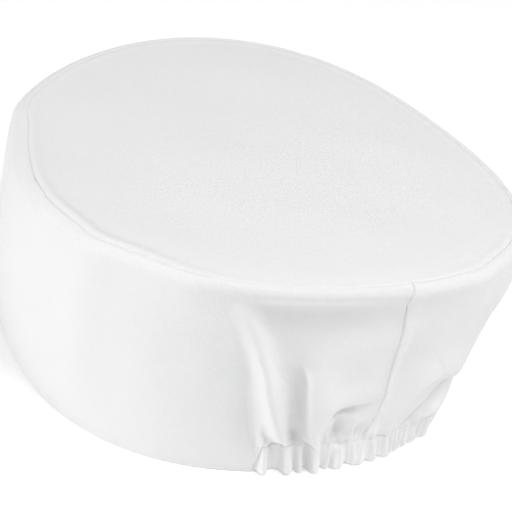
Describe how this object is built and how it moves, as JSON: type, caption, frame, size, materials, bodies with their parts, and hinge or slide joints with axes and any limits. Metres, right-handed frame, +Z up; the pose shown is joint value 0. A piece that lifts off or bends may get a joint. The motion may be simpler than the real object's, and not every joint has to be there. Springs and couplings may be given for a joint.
{
  "type": "kitchen skull cap",
  "caption": "Round kitchen skull cap with a flat crown panel, a tall side band and a gathered elastic back, open underneath for a head.",
  "frame": {"origin": "centre of the cap's outline, on the surface that its hem stands on", "axes": "+Z up through the crown, -Y towards the wearer's front, +Y towards the gathered back, +X the wearer's left"},
  "size_m": [0.1911, 0.2036, 0.0876],
  "materials": {
    "crown_twill": "white cotton-blend twill, matt, fine diagonal weave",
    "band_twill": "white cotton-blend twill, matt, soft folds at the back",
    "casing_twill": "white cotton-blend twill gathered over elastic"
  },
  "bodies": {
    "root": {"crown_panel": "crown_twill", "side_band": "band_twill", "elastic_casing": "casing_twill"}
  },
  "joints": []
}
